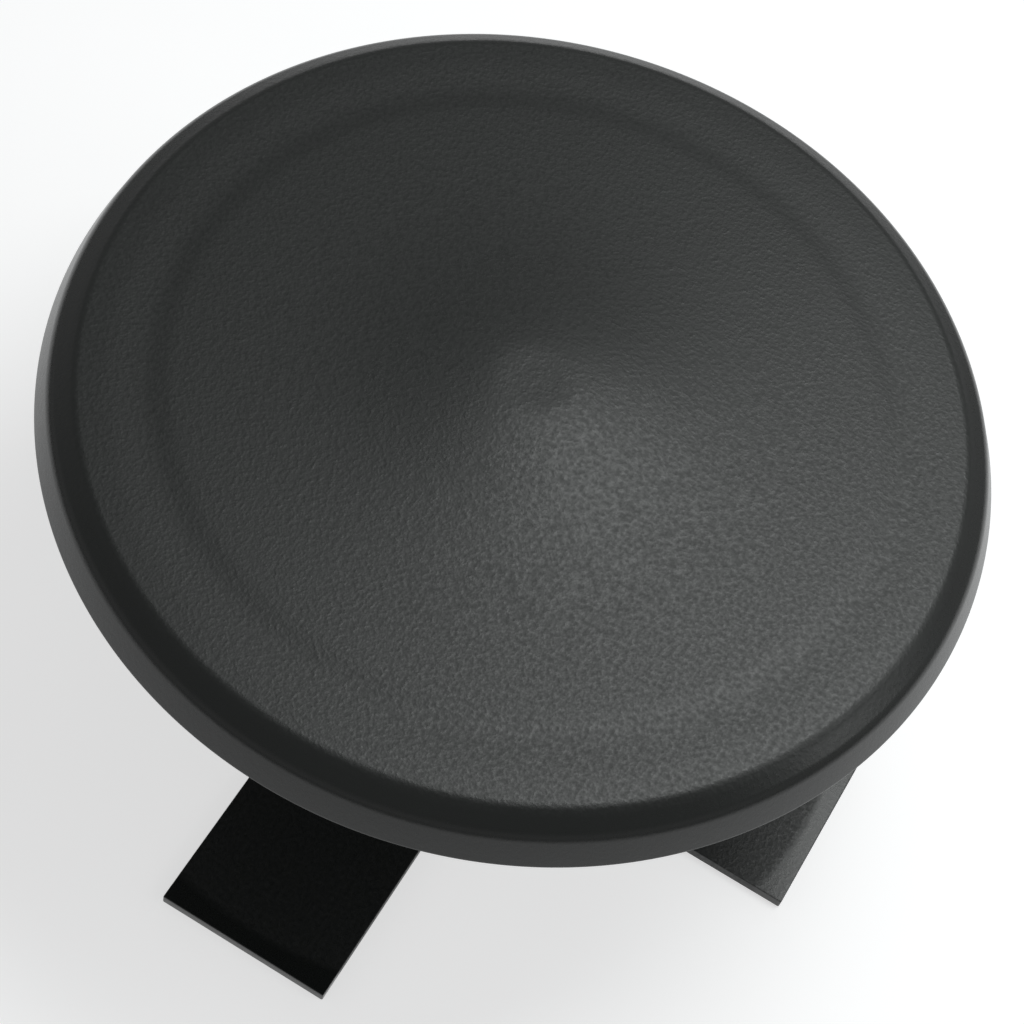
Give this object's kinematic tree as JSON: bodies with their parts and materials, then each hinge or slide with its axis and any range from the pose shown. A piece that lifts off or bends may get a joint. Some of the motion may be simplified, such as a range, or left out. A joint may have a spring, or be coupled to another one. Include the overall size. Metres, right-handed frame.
{
  "type": "plastic hole plug",
  "caption": "Round snap-in cover plug for a hole in a panel: crowned head with a centring ring, a ribbed post and a flat cross of thin spring arms, moulded in one piece.",
  "frame": {"origin": "on the plug's axis, on the underside of the cross of spring arms", "axes": "+Z along the plug's axis from the cross towards the visible face of the head, +X and +Y along the arms"},
  "size_m": [0.0998, 0.0998, 0.0538],
  "materials": {
    "black_plastic": "fine leather grain, low sheen"
  },
  "bodies": {
    "root": {"hole_plug": "black_plastic"}
  },
  "joints": []
}
